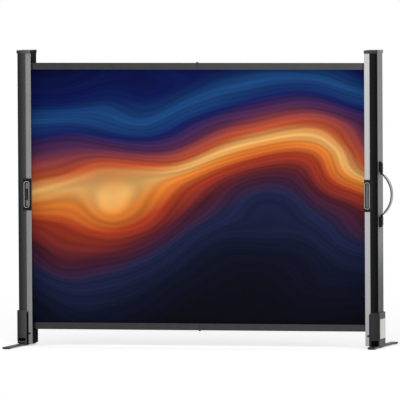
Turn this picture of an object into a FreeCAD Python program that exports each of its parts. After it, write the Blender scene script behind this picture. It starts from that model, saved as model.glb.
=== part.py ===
import FreeCAD, Part
import math
import os
import re
import Sketcher

# Tabletop projection screen: two channel posts on folding feet, held apart by
# two pairs of toggle crossbars, with a fabric that winds on a spring roller.
# Millimetres. X runs across the picture, Y towards the back, Z up from the table.

DOC = FreeCAD.newDocument("tabletop_projection_screen")
SHEET = DOC.addObject("Spreadsheet::Sheet", "Sizes")

# Sizes that can be set by themselves
DRIVING = {
    # picture and fabric
    "picture_width": 813,
    "fabric_height": 610,
    "fabric_overlap": 3,
    "fabric_thickness": 0.4,
    # post channel and what dresses it
    "post_width": 32,
    "post_wall": 2,
    "channel_depth": 55,
    "groove_width": 1.2,
    "groove_depth": 0.6,
    "groove_pitch": 9,
    "panel_width": 19,
    "panel_thickness": 2.5,
    "panel_crown_radius": 62,
    "cap_height": 7.5,
    "cap_lip": 1.5,
    "cap_round": 1.5,
    "cap_plug_depth": 9,
    "plug_height": 30,
    "plug_screw_height": 24,
    "screw_radius": 1.5,
    "screw_head_radius": 2.6,
    "screw_head_height": 1.2,
    "screw_length": 8,
    # shoe and foot
    "shoe_height": 79.5,
    "shoe_side_wall": 3.5,
    "shoe_face_wall": 3,
    "window_width": 16.6,
    "window_height": 13,
    "foot_offset": 8.3,
    "foot_width": 17,
    "bar_thickness": 4,
    "pad_thickness": 1.5,
    "pad_margin": 1.5,
    "pad_length": 25,
    "toe_length": 40,
    "leg_length": 138,
    "leg_splay": 2,
    "leg_heel": 2.4,
    "leg_gap": 0.6,
    "leg_hinge_rise": 4,
    "leg_hinge_depth": 0.3,
    "leg_hinge_radius": 3,
    "leg_pin_radius": 1.5,
    "leg_lug_width": 3.6,
    "leg_lug_pitch": 5.1,
    # crossbars
    "bar_height": 16,
    "bar_depth": 8,
    "bar_wall": 1.2,
    "top_bar_drop": 30,
    "bottom_bar_rise": 33.6,
    "pivot_inset": 7,
    "closed_gap": 3,
    "arm_front_gap": 2,
    "arm_layer_gap": 2.5,
    "pivot_end_reach": 4.5,
    "spigot_length": 20,
    "pivot_pin_radius": 2,
    "collar_length": 3,
    "hinge_gap": 0.25,
    "hinge_pin_radius": 0.9,
    "hinge_lug_radius": 1.8,
    "hinge_lug_width": 3.2,
    "hinge_relief": 0.3,
    "bracket_plate": 1.5,
    "bracket_side_gap": 0.3,
    "bracket_reach": 4.5,
    # fabric roller
    "roller_radius": 9,
    "roller_wall": 1.2,
    "roller_x": 16,
    "roller_y": 12.5,
    "roller_overhang": 3,
    "arbor_radius": 3,
    "spring_wall": 1.4,
    "roller_flange": 1.6,
    "roller_plug_depth": 18,
    "roller_end_gap": 0.6,
    "roller_bracket_plate": 3,
    "clamp_thickness": 6,
    "clamp_reach": 15,
    "clamp_grip": 8,
    # latch
    "latch_rise": 6,
    "latch_width": 20,
    "latch_height": 76,
    "latch_thickness": 3,
    "slot_width": 7.6,
    "slot_height": 57,
    "slot_inset": 11.2,
    "keeper_inset": 6.2,
    "button_height": 22,
    "button_proud": 1.6,
    "latch_travel": 8,
    "hook_plate": 1.2,
    "hook_gap": 0.3,
    "hook_drop": 4.5,
    "hook_pin_radius": 1.5,
    "hook_arm_width": 3.6,
    "hook_barb": 2.4,
    "hook_barb_length": 3,
    "carriage_margin": 2.3,
    "rack_width": 3,
    "keeper_lip": 0.8,
    # carrying handle
    "handle_rise": 9,
    "handle_setback": 17.5,
    "handle_spacing": 130,
    "lug_height": 25,
    "lug_depth": 10,
    "lug_reach": 8,
    "lug_taper": 3,
    "handle_pivot_reach": 5,
    "handle_pin_radius": 2,
    "handle_pin_depth": 12,
    "handle_hub_radius": 3.2,
    "handle_hub_height": 5,
    "handle_reach": 32.5,
    "strap_thickness": 2.4,
    "strap_width": 7,
    "grip_length": 58,
    "grip_skin": 1.3,
    # fits
    "fit_clearance": 0.1,
    "running_clearance": 0.05,
    "open_pivot_clearance": 0.25,
}

# Places and sizes that follow from the ones above
DERIVED = {
    "opening_height": "fabric_height - 2 * fabric_overlap",
    "post_length": "bottom_bar_rise + 2 * bar_height + opening_height + top_bar_drop - cap_height",
    "post_bottom": "pad_thickness + bar_thickness",
    "post_top": "post_bottom + post_length",
    "cap_top": "post_top + cap_height",
    "post_middle": "(post_bottom + cap_top) / 2",
    "wall_face": "channel_depth / 2",
    "wall_inside": "wall_face - post_wall",
    "panel_face": "wall_face + panel_thickness",
    "shoe_inside": "panel_face + fit_clearance",
    "shoe_face": "shoe_inside + shoe_face_wall",
    "shoe_top": "post_bottom + shoe_height",
    "window_top": "post_bottom + window_height",
    "leg_hinge_y": "shoe_face - leg_hinge_depth",
    "leg_hinge_z": "post_bottom + leg_hinge_rise",
    "leg_outreach": "leg_length * sin(leg_splay) + foot_width / 2 * cos(leg_splay) - foot_offset",
    "screen_x": "(leg_outreach - handle_reach) / 2",
    "left_outer_x": "screen_x - picture_width / 2 - post_width",
    "right_outer_x": "screen_x + picture_width / 2 + post_width",
    "base_front": "leg_hinge_y - leg_heel - foot_width / 2 * sin(leg_splay) - 2 * leg_gap",
    "toe_end": "shoe_face + toe_length",
    "top_bar_z": "cap_top - top_bar_drop - bar_height / 2",
    "bottom_bar_z": "post_bottom + bottom_bar_rise + bar_height / 2",
    "screen_z": "(top_bar_z + bottom_bar_z) / 2",
    "top_arm_y": "-wall_inside + arm_front_gap + bar_depth / 2",
    "bottom_arm_y": "top_arm_y + bar_depth + arm_layer_gap",
    "pivot_x": "post_width - pivot_inset",
    "arm_span": "picture_width / 2 + pivot_inset",
    "hinge_rise": "pivot_inset + closed_gap / 2",
    "tube_start": "pivot_inset + pivot_end_reach",
    "tube_end": "arm_span - collar_length",
    "spigot_height": "bar_height - 2 * bar_wall - 2 * fit_clearance",
    "spigot_depth": "bar_depth - 2 * bar_wall - 2 * fit_clearance",
    "lug_split": "hinge_lug_width / 2 + running_clearance",
    "cheek_inside": "bar_depth / 2 + bracket_side_gap",
    "cheek_outside": "cheek_inside + bracket_plate",
    "fabric_low": "screen_z - fabric_height / 2",
    "fabric_high": "screen_z + fabric_height / 2",
    "roller_low": "fabric_low - roller_overhang",
    "roller_high": "fabric_high + roller_overhang",
    "roller_bore": "roller_radius - roller_wall",
    "wound_radius": "roller_radius + fabric_thickness",
    "fabric_back": "roller_y - wound_radius",
    "fabric_front": "fabric_back - fabric_thickness",
    "fabric_middle": "fabric_back - fabric_thickness / 2",
    "latch_z": "post_middle + latch_rise",
    "latch_edge": "post_width - latch_width",
    "slot_x": "post_width - slot_inset",
    "keeper_slot_x": "post_width - keeper_inset",
    "latch_face": "wall_face + latch_thickness",
    "hook_outside": "wall_inside - hook_gap",
    "hook_inside": "hook_outside - hook_plate",
    "hook_z": "latch_z - slot_height / 2 - hook_drop",
    "hook_pinion_radius": "2 * latch_travel / pi",
    "hook_reach": "post_width + closed_gap + hook_gap - slot_x",
    "hook_tip": "hook_reach + hook_barb_length",
    "lip_low": "hook_z + hook_arm_width / 2 + hook_gap",
    "handle_z": "post_middle + handle_rise",
    "handle_y": "-wall_face + handle_setback",
    "lug_inner": "handle_spacing / 2 - lug_height / 2",
    "lug_outer": "handle_spacing / 2 + lug_height / 2",
    "hub_top": "lug_inner - hook_gap",
    "hub_low": "hub_top - handle_hub_height",
    "strap_half": "hub_top - handle_hub_height / 2",
    "strap_sagitta": "handle_reach - grip_skin - strap_thickness / 2 - handle_pivot_reach",
    "strap_radius": "(strap_half ^ 2 + strap_sagitta ^ 2) / (2 * strap_sagitta)",
    "strap_centre": "handle_pivot_reach + strap_sagitta - strap_radius",
}

UP = FreeCAD.Vector(0, 0, 1)
ACROSS = FreeCAD.Vector(1, 0, 0)
BACK = FreeCAD.Vector(0, 1, 0)
PIECES = []


def fill_sheet():
    """One row for each size: its name in column A, its value in column B."""
    entries = {name: str(value) for name, value in DRIVING.items()}
    entries.update({name: "=" + text for name, text in DERIVED.items()})
    for row, (name, text) in enumerate(entries.items(), start=1):
        SHEET.set(f"A{row}", name)
        SHEET.set(f"B{row}", text)
        SHEET.setAlias(f"B{row}", name)
    DOC.recompute()


def bind(obj, path, text):
    """Tie one property to a formula written in the sheet's names."""
    def prefix(match):
        word = match.group(0)
        return f"Sizes.{word}" if word in DRIVING or word in DERIVED else word
    obj.setExpression(path, re.sub(r"[a-z_]+[a-z]", prefix, text))


def box(name, low, high):
    """A block between two corners, each given as three formulas."""
    block = DOC.addObject("Part::Box", name)
    for axis, side, start, end in zip("xyz", ("Length", "Width", "Height"), low, high):
        bind(block, f"Placement.Base.{axis}", start)
        bind(block, side, f"({end}) - ({start})")
    return block


def rod(name, axis, centre, start, end, radius):
    """A cylinder along one axis, centred on the two formulas for the other axes."""
    turn = {
        "x": FreeCAD.Rotation(BACK, 90),
        "y": FreeCAD.Rotation(ACROSS, -90),
        "z": FreeCAD.Rotation(),
    }[axis]
    cylinder = DOC.addObject("Part::Cylinder", name)
    cylinder.Placement = FreeCAD.Placement(FreeCAD.Vector(), turn)
    for other, text in zip([letter for letter in "xyz" if letter != axis], centre):
        bind(cylinder, f"Placement.Base.{other}", text)
    bind(cylinder, f"Placement.Base.{axis}", start)
    bind(cylinder, "Height", f"({end}) - ({start})")
    bind(cylinder, "Radius", radius)
    return cylinder


def fuse(name, shapes):
    joined = DOC.addObject("Part::MultiFuse", name)
    joined.Shapes = shapes
    joined.Refine = True
    return joined


def cut(name, base, tools):
    left_over = DOC.addObject("Part::Cut", name)
    left_over.Base = base
    left_over.Tool = tools[0] if len(tools) == 1 else fuse(f"{name}_tools", tools)
    left_over.Refine = True
    return left_over


def common(name, first, second):
    shared = DOC.addObject("Part::Common", name)
    shared.Base = first
    shared.Tool = second
    return shared


def group(name, shapes):
    """Several loose solids that belong to one node."""
    set_of_solids = DOC.addObject("Part::Compound", name)
    set_of_solids.Links = shapes
    return set_of_solids


def outline(sketch, corners):
    """A closed run of lines whose corners are held by formulas."""
    count = len(corners)
    first = sketch.GeometryCount
    ring = [math.tau * step / count for step in range(count)]
    spots = [FreeCAD.Vector(math.cos(angle), math.sin(angle), 0) for angle in ring]
    for step in range(count):
        sketch.addGeometry(Part.LineSegment(spots[step], spots[(step + 1) % count]))
    for step, corner in enumerate(corners):
        line = first + step
        following = first + (step + 1) % count
        sketch.addConstraint(Sketcher.Constraint("Coincident", line, 2, following, 1))
        for kind, text, value in zip(("DistanceX", "DistanceY"), corner, spots[step]):
            held = sketch.addConstraint(Sketcher.Constraint(kind, -1, 1, line, 1, value))
            bind(sketch, f"Constraints[{held}]", text)


def extrusion(name, plane, outlines, low, high):
    """A body padded from one sketch between two levels of its plane's normal."""
    body = DOC.addObject("PartDesign::Body", name)
    sketch = body.newObject("Sketcher::SketchObject", f"{name}_section")
    origin_plane = next(item for item in body.Origin.OriginFeatures if item.Role == plane)
    sketch.AttachmentSupport = (origin_plane, [""])
    sketch.MapMode = "FlatFace"
    bind(sketch, "AttachmentOffset.Base.z", low)
    for corners in outlines:
        outline(sketch, corners)
    pad = body.newObject("PartDesign::Pad", f"{name}_pad")
    pad.Profile = sketch
    bind(pad, "Length", f"({high}) - ({low})")
    return body


def rectangle(x_low, y_low, x_high, y_high):
    return [(x_low, y_low), (x_high, y_low), (x_high, y_high), (x_low, y_high)]


def label(obj, node, turn=None, base=("0", "0", "0")):
    """Name a finished piece and put it in its place."""
    obj.Label = node
    obj.Placement = FreeCAD.Placement(FreeCAD.Vector(), turn or FreeCAD.Rotation())
    for axis, text in zip("xyz", base):
        bind(obj, f"Placement.Base.{axis}", text)
    PIECES.append(obj)
    return obj


def label_on_post(obj, node, side):
    """Place a piece drawn in a post's own frame: X inwards from its outer face."""
    turn = FreeCAD.Rotation(UP, 0 if side == "left" else 180)
    return label(obj, f"{node}_{side}", turn, (f"{side}_outer_x", "0", "0"))


# A post's own frame has X inwards, so the right post is the left one turned half round.
# FRONT gives the sign of Y that faces the viewer in each frame.
FRONT = {"left": "-1", "right": "1"}


def oblong(name, centre, start, end):
    """The latch slot's shape along Y, with round ends."""
    half = "slot_width / 2"
    low = f"latch_z - slot_height / 2 + {half}"
    high = f"latch_z + slot_height / 2 - {half}"
    ends = [rod(f"{name}_{place}", "y", (centre, level), start, end, half)
            for place, level in (("low", low), ("high", high))]
    middle = box(f"{name}_middle", (f"{centre} - {half}", start, low), (f"{centre} + {half}", end, high))
    return fuse(name, ends + [middle])


def screw_spots(side, radius):
    """Two cylinders through the front and rear walls, where the plug's screws go."""
    spot = "post_width - (post_width - panel_width) / 2"
    level = "post_bottom + plug_screw_height"
    return [rod(f"plug_screw_hole_{side}_{face}", "y", (spot, level), start, end, radius)
            for face, start, end in (
                ("front", "-wall_face - post_wall", "-wall_face + screw_length"),
                ("rear", "wall_face - screw_length", "wall_face + post_wall"))]


# Post channel: an aluminium extrusion, open towards the picture, grooved outside
def post_channel(side):
    groove = [[(x, f"{row} * groove_pitch {edge} groove_width / 2")
               for x, edge in (("0", "+"), ("groove_depth", "+"), ("groove_depth", "-"), ("0", "-"))]
              for row in (1, 0, -1)]
    section = [
        ("0", "-wall_face"), ("post_width", "-wall_face"), ("post_width", "-wall_inside"),
        ("post_wall", "-wall_inside"), ("post_wall", "wall_inside"), ("post_width", "wall_inside"),
        ("post_width", "wall_face"), ("0", "wall_face"),
    ] + sum(groove, [])
    channel = extrusion(f"channel_{side}", "XY_Plane", [section], "post_bottom", "post_top")
    holes = screw_spots(side, "screw_radius + fit_clearance")
    if side == "left":
        through = ("-latch_face", "-wall_inside + post_wall")
        holes.append(oblong("latch_wall_slot", "slot_x", *through))
        holes.append(rod("latch_stud_hole", "y", ("slot_x", "hook_z"), *through,
                         "hook_pin_radius + fit_clearance"))
    label_on_post(cut(f"post_cut_{side}", channel, holes), "post", side)


# Dark cover panels on the front and rear walls, crowned, notched for the latch plates
def cover_panels(side):
    for face in ("front", "rear"):
        sign = FRONT[side] if face == "front" else f"(-1) * {FRONT[side]}"
        toward_front = (face == "front") == (side == "left")
        low_y, high_y = ("-panel_face", "-wall_face") if toward_front else ("wall_face", "panel_face")
        name = f"{face}_panel_{side}"
        slab = box(f"{name}_slab", ("0", low_y, "window_top + pad_thickness"),
                   ("panel_width", high_y, "post_top"))
        crown = rod(f"{name}_crown", "z", ("panel_width / 2", f"{sign} * (panel_face - panel_crown_radius)"),
                    "0", "cap_top", "panel_crown_radius")
        panel = common(f"{name}_crowned", slab, crown)
        if face == "front":
            notch = box(f"{name}_notch",
                        ("latch_edge - fit_clearance", f"{low_y} - panel_thickness",
                         "latch_z - latch_height / 2 - fit_clearance"),
                        ("panel_width + panel_thickness", f"{high_y} + panel_thickness",
                         "latch_z + latch_height / 2 + fit_clearance"))
            panel = cut(f"{name}_notched", panel, [notch])
        label_on_post(panel, f"{face}_panel", side)


# Moulded top cap with a plug that sits in the channel
def top_cap(side):
    body = extrusion(f"cap_{side}", "XY_Plane",
                     [rectangle("-cap_lip", "-panel_face - cap_lip", "post_width", "panel_face + cap_lip")],
                     "post_top", "cap_top")
    DOC.recompute()
    plate = body.Tip
    top = plate.Shape.BoundBox.ZMax
    rims = [f"Edge{number}" for number, edge in enumerate(plate.Shape.Edges, start=1)
            if edge.BoundBox.ZMin > top - body.Shape.BoundBox.ZLength / 2]
    rounding = body.newObject("PartDesign::Fillet", f"cap_rim_{side}")
    rounding.Base = (plate, rims)
    bind(rounding, "Radius", "cap_round")
    plug = box(f"cap_plug_{side}",
               ("post_wall + fit_clearance", "-wall_inside + fit_clearance", "post_top - cap_plug_depth"),
               ("post_width - post_wall", "wall_inside - fit_clearance", "post_top + cap_height / 2"))
    label_on_post(fuse(f"cap_whole_{side}", [body, plug]), "top_cap", side)


# Plug that closes the channel's lower end, with the two screws that hold it
def bottom_plug(side):
    block = box(f"plug_block_{side}",
                ("post_wall + fit_clearance", "-wall_inside + fit_clearance", "post_bottom"),
                ("post_width - post_wall", "wall_inside - fit_clearance", "post_bottom + plug_height"))
    label_on_post(cut(f"plug_drilled_{side}", block, screw_spots(side, "screw_radius + running_clearance")),
                  "bottom_plug", side)
    spot = "post_width - (post_width - panel_width) / 2"
    level = "post_bottom + plug_screw_height"
    screws = []
    for face, tip, seat, top in (
            ("front", "-wall_face + screw_length", "-wall_face", "-wall_face - screw_head_height"),
            ("rear", "wall_face - screw_length", "wall_face", "wall_face + screw_head_height")):
        shank_ends = (seat, tip) if face == "front" else (tip, seat)
        head_ends = (top, seat) if face == "front" else (seat, top)
        shank = rod(f"plug_shank_{side}_{face}", "y", (spot, level), *shank_ends, "screw_radius")
        head = rod(f"plug_head_{side}_{face}", "y", (spot, level), *head_ends, "screw_head_radius")
        screws.append(fuse(f"plug_screw_{side}_{face}", [shank, head]))
    label_on_post(group(f"plug_screw_set_{side}", screws), "plug_screws", side)


def on_leg_hinge(obj):
    """Turn a piece about the upright line through the leg's hinge, by the leg's splay."""
    obj.Placement = FreeCAD.Placement(FreeCAD.Vector(), FreeCAD.Rotation(-UP, 10))
    bind(obj, "Placement.Rotation.Angle", "leg_splay")
    for axis, text in (("x", "foot_offset"), ("y", "-leg_hinge_y"), ("z", "leg_hinge_z")):
        bind(obj, f"Placement.Base.{axis}", text)
    return obj


# Shoe: a moulded sleeve round the post's foot, with hinge ears and a window in each face
def shoe(side):
    shell = box(f"shoe_shell_{side}", ("-shoe_side_wall", "-shoe_face", "post_bottom"),
                ("panel_width", "shoe_face", "shoe_top"))
    hollow = box(f"shoe_hollow_{side}", ("-fit_clearance", "-shoe_inside", "0"),
                 ("post_width", "shoe_inside", "cap_top"))
    ears = [rod(f"shoe_ear_{side}_{end}", "x", ("0", "0"), start, stop, "leg_hinge_radius + leg_gap")
            for end, start, stop in (
                ("outer", "-window_width / 2 - shoe_side_wall / 2", "-window_width / 2 + leg_gap"),
                ("inner", "window_width / 2 - leg_gap", "window_width / 2 + shoe_side_wall / 2"))]
    turned_ears = on_leg_hinge(group(f"shoe_ears_{side}", ears))
    windows = box(f"shoe_windows_{side}", ("foot_offset - window_width / 2", "-2 * shoe_face", "0"),
                  ("foot_offset + window_width / 2", "2 * shoe_face", "window_top"))
    below = box(f"shoe_below_{side}", ("-post_width", "-2 * shoe_face", "0"),
                ("2 * post_width", "2 * shoe_face", "post_bottom"))
    bore = rod(f"shoe_bore_bar_{side}", "x", ("0", "0"), "-post_width", "post_width",
               "leg_pin_radius + running_clearance")
    turned_bore = on_leg_hinge(group(f"shoe_bore_{side}", [bore]))
    sleeve = cut(f"shoe_sleeve_{side}", shell, [hollow])
    eared = fuse(f"shoe_eared_{side}", [sleeve, turned_ears])
    label_on_post(cut(f"shoe_cut_{side}", eared, [windows, below, turned_bore]), "shoe", side)


# Foot: a flat bar under the shoe with a short toe, on two rubber pads
def base_bar(side):
    edges = ("foot_offset - foot_width / 2", "foot_offset + foot_width / 2")
    bar = box(f"base_bar_block_{side}", (edges[0], "-base_front", "pad_thickness"),
              (edges[1], "toe_end", "post_bottom"))
    label_on_post(group(f"base_bar_set_{side}", [bar]), "base_bar", side)
    pad_edges = (f"{edges[0]} + pad_margin", f"{edges[1]} - pad_margin")
    pads = [box(f"base_pad_{side}_{end}", (pad_edges[0], start, "0"), (pad_edges[1], stop, "pad_thickness"))
            for end, start, stop in (
                ("front", "-base_front + pad_margin", "-base_front + pad_margin + pad_length"),
                ("toe", "toe_end - pad_margin - pad_length", "toe_end - pad_margin"))]
    label_on_post(group(f"base_pad_set_{side}", pads), "base_pads", side)


def label_on_hinge(obj, node, side):
    """Place a piece drawn about its leg's hinge, with the leg pointing along -Y."""
    sign = "1" if side == "left" else "(-1)"
    turn = FreeCAD.Rotation(-UP, 10 if side == "left" else 190)
    base = (f"{side}_outer_x + {sign} * foot_offset", f"{sign} * (-leg_hinge_y)", "leg_hinge_z")
    label(obj, f"{node}_{side}", turn, base)
    bind(obj, "Placement.Rotation.Angle", "leg_splay" if side == "left" else "180 + leg_splay")
    return obj


# Folding leg: a flat bar with three hinge lugs, its pin, and a rubber pad at the tip
def leg(side):
    bar_low = "pad_thickness - leg_hinge_z"
    bar_high = "post_bottom - leg_gap - leg_hinge_z"
    bar = box(f"leg_bar_{side}", ("-foot_width / 2", "-leg_length", bar_low),
              ("foot_width / 2", "leg_heel", bar_high))
    parts = [bar]
    for row in (-1, 0, 1):
        low = f"{row} * leg_lug_pitch - leg_lug_width / 2"
        high = f"{row} * leg_lug_pitch + leg_lug_width / 2"
        parts.append(rod(f"leg_eye_{side}_{row}", "x", ("0", "0"), low, high, "leg_hinge_radius"))
        parts.append(box(f"leg_web_{side}_{row}", (low, "-leg_hinge_radius", bar_low),
                         (high, "leg_heel", "0")))
    bore = rod(f"leg_bore_{side}", "x", ("0", "0"), "-foot_width", "foot_width",
               "leg_pin_radius + running_clearance")
    label_on_hinge(cut(f"leg_cut_{side}", fuse(f"leg_whole_{side}", parts), [bore]), "leg", side)
    pad = box(f"leg_pad_block_{side}",
              ("-foot_width / 2 + pad_margin", "-leg_length + pad_margin", "-leg_hinge_z"),
              ("foot_width / 2 - pad_margin", "-leg_length + pad_margin + pad_length", bar_low))
    label_on_hinge(group(f"leg_pad_set_{side}", [pad]), "leg_pad", side)
    pin_half = "window_width / 2 + shoe_side_wall / 2 - leg_gap"
    pin = rod(f"leg_pin_rod_{side}", "x", ("0", "0"), f"-({pin_half})", pin_half, "leg_pin_radius")
    label_on_hinge(group(f"leg_pin_set_{side}", [pin]), "leg_hinge_pin", side)


# Brackets inside a post that carry the crossbars' outer pivots, and their pins
def arm_brackets(side):
    pins = []
    for row in ("top", "bottom"):
        sign = "1" if side == "left" else "(-1)"
        middle = f"{sign} * {row}_arm_y"
        level = f"{row}_bar_z"
        name = f"{row}_bracket_{side}"
        low, high = f"{level} - bar_height / 2", f"{level} + bar_height / 2"
        plate = box(f"{name}_plate", ("post_wall", f"{middle} - cheek_outside", low),
                    ("post_wall + bracket_plate", f"{middle} + cheek_outside", high))
        cheeks = [box(f"{name}_cheek_{end}", ("post_wall", f"{middle} {start}", low),
                      ("pivot_x + bracket_reach", f"{middle} {stop}", high))
                  for end, start, stop in (("front", "- cheek_outside", "- cheek_inside"),
                                           ("rear", "+ cheek_inside", "+ cheek_outside"))]
        hole = rod(f"{name}_hole", "y", ("pivot_x", level), f"{middle} - bar_depth", f"{middle} + bar_depth",
                   "pivot_pin_radius")
        label_on_post(cut(f"{name}_drilled", fuse(f"{name}_whole", [plate] + cheeks), [hole]),
                      f"{row}_bracket", side)
        pins.append(rod(f"{name}_pin", "y", ("pivot_x", level), f"{middle} - cheek_outside",
                        f"{middle} + cheek_outside", "pivot_pin_radius"))
    label_on_post(group(f"pivot_pin_set_{side}", pins), "pivot_pins", side)


# One crossbar half, drawn from its outer pivot along X with the toggle hinge above:
# an aluminium tube, a moulded pivot end and a moulded hinge end
def crossbar(row, side):
    node = f"{row}_bar_{side}"
    turn = {
        ("top", "left"): FreeCAD.Rotation(),
        ("top", "right"): FreeCAD.Rotation(UP, 180),
        ("bottom", "left"): FreeCAD.Rotation(ACROSS, 180),
        ("bottom", "right"): FreeCAD.Rotation(BACK, 180),
    }[(row, side)]
    sign = "+" if side == "left" else "-"
    base = (f"{side}_outer_x {sign} pivot_x", f"{row}_arm_y", f"{row}_bar_z")
    half = ("bar_depth / 2", "bar_height / 2")
    inner = ("bar_depth / 2 - bar_wall", "bar_height / 2 - bar_wall")
    spigot = ("spigot_depth / 2", "spigot_height / 2")

    tube = extrusion(f"{node}_tube", "YZ_Plane",
                     [rectangle(f"-{half[0]}", f"-{half[1]}", *half),
                      rectangle(f"-({inner[0]})", f"-({inner[1]})", *inner)],
                     "tube_start", "tube_end")
    label(tube, node, turn, base)

    loose = "open_pivot_clearance" if (row, side) == ("bottom", "right") else "running_clearance"
    eye = rod(f"{node}_eye", "y", ("0", "0"), f"-{half[0]}", half[0], half[1])
    neck = box(f"{node}_neck", ("0", f"-{half[0]}", f"-{half[1]}"), ("tube_start", *half))
    plug = box(f"{node}_pivot_spigot", ("0", f"-{spigot[0]}", f"-{spigot[1]}"),
               ("tube_start + spigot_length", *spigot))
    bore = rod(f"{node}_bore", "y", ("0", "0"), "-bar_depth", "bar_depth", f"pivot_pin_radius + {loose}")
    whole = fuse(f"{node}_pivot_whole", [eye, neck, plug])
    label(cut(f"{node}_pivot_cut", whole, [bore]), f"{node}_pivot_end", turn, base)

    collar = box(f"{node}_collar", ("tube_end", f"-{half[0]}", f"-{half[1]}"),
                 ("arm_span - hinge_gap", *half))
    plug = box(f"{node}_hinge_spigot", ("tube_end - spigot_length", f"-{spigot[0]}", f"-{spigot[1]}"),
               ("arm_span - hinge_gap", *spigot))
    middle = [("middle", "-hinge_lug_width / 2", "hinge_lug_width / 2")]
    sides = [("near", f"-{half[0]}", "-lug_split"), ("far", "lug_split", half[0])]
    own, other = (middle, sides) if side == "left" else (sides, middle)
    reliefs = [rod(f"{node}_relief_{end}", "y", ("arm_span", "hinge_rise"),
                   f"{start} - running_clearance", f"{stop} + running_clearance",
                   "hinge_lug_radius + hinge_relief") for end, start, stop in other]
    lugs = []
    for end, start, stop in own:
        lugs.append(rod(f"{node}_lug_{end}", "y", ("arm_span", "hinge_rise"), start, stop,
                        "hinge_lug_radius"))
        lugs.append(box(f"{node}_lug_foot_{end}", ("tube_end", start, "bar_height / 2 - bar_wall"),
                        ("arm_span", stop, "hinge_rise")))
    relieved = cut(f"{node}_relieved", fuse(f"{node}_collar_whole", [collar, plug]), reliefs)
    pin_hole = rod(f"{node}_pin_hole", "y", ("arm_span", "hinge_rise"), "-bar_depth", "bar_depth",
                   "hinge_pin_radius + running_clearance")
    hinge_end = cut(f"{node}_hinge_cut", fuse(f"{node}_hinge_whole", [relieved] + lugs), [pin_hole])
    label(hinge_end, f"{node}_hinge_end", turn, base)

    if side == "left":
        pin = rod(f"{row}_pin_rod", "y", ("arm_span", "hinge_rise"), f"-{half[0]}", half[0],
                  "hinge_pin_radius")
        label(group(f"{row}_pin_set", [pin]), f"{row}_hinge_pin", turn, base)


# Spring roller in the left post, on a fixed arbor between two brackets
def roller():
    centre = ("roller_x", "roller_y")

    def ring(name, low, high, outside, inside):
        outer = rod(f"{name}_outside", "z", centre, low, high, outside)
        inner = rod(f"{name}_inside", "z", centre, f"{low} - roller_overhang",
                    f"{high} + roller_overhang", inside)
        return cut(f"{name}_ring", outer, [inner])

    label_on_post(ring("roller_tube", "roller_low", "roller_high", "roller_radius", "roller_bore"),
                  "roller_tube", "left")
    bore = "arbor_radius + running_clearance"
    plugs = []
    for end, low, high, rim_low, rim_high in (
            ("bottom", "roller_low", "roller_low + roller_plug_depth", "roller_low - roller_flange",
             "roller_low"),
            ("top", "roller_high - roller_plug_depth", "roller_high", "roller_high",
             "roller_high + roller_flange")):
        core = rod(f"roller_core_{end}", "z", centre, low, high, "roller_bore")
        rim = rod(f"roller_rim_{end}", "z", centre, rim_low, rim_high, "roller_radius")
        hole = rod(f"roller_hole_{end}", "z", centre, f"{low} - roller_overhang",
                   f"{high} + roller_overhang", bore)
        plugs.append(cut(f"roller_plug_{end}", fuse(f"roller_plug_whole_{end}", [core, rim]), [hole]))
    label_on_post(group("roller_plug_set", plugs), "roller_plugs", "left")
    label_on_post(ring("roller_spring", "roller_low + roller_plug_depth + roller_end_gap",
                       "roller_high - roller_plug_depth - roller_end_gap",
                       f"{bore} + spring_wall", bore), "roller_spring", "left")
    label_on_post(ring("wound_fabric", "fabric_low", "fabric_high", "wound_radius", "roller_radius"),
                  "wound_fabric", "left")

    seat_low = "roller_low - roller_flange - roller_end_gap"
    seat_high = "roller_high + roller_flange + roller_end_gap"
    holders = []
    for end, low, high in (("bottom", f"{seat_low} - roller_bracket_plate", seat_low),
                           ("top", seat_high, f"{seat_high} + roller_bracket_plate")):
        plate = box(f"roller_bracket_{end}", ("post_wall", "roller_y - roller_radius", low),
                    ("roller_x + roller_radius", "wall_inside", high))
        hole = rod(f"roller_bracket_hole_{end}", "z", centre, f"{low} - roller_overhang",
                   f"{high} + roller_overhang", "arbor_radius + running_clearance")
        holders.append(cut(f"roller_bracket_drilled_{end}", plate, [hole]))
    label_on_post(group("roller_bracket_set", holders), "roller_brackets", "left")
    arbor = rod("arbor_rod", "z", centre, f"{seat_low} - roller_bracket_plate",
                f"{seat_high} + roller_bracket_plate", "arbor_radius")
    label_on_post(group("arbor_set", [arbor]), "roller_arbor", "left")


# Projection fabric, from the roller's front to the clamp bar in the right post
def fabric():
    sheet = box("fabric_sheet",
                ("left_outer_x + roller_x", "fabric_front", "fabric_low"),
                ("right_outer_x - clamp_reach + clamp_grip", "fabric_back", "fabric_high"))
    label(group("fabric_set", [sheet]), "screen_fabric")
    bar = box("clamp_bar", ("post_wall", "-fabric_middle - clamp_thickness / 2", "fabric_low"),
              ("clamp_reach", "-fabric_middle + clamp_thickness / 2", "fabric_high"))
    slot = box("clamp_slot", ("clamp_reach - clamp_grip", "-fabric_back - running_clearance", "0"),
               ("post_width", "-fabric_front + running_clearance", "cap_top"))
    label_on_post(cut("clamp_slotted", bar, [slot]), "fabric_clamp", "right")


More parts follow.
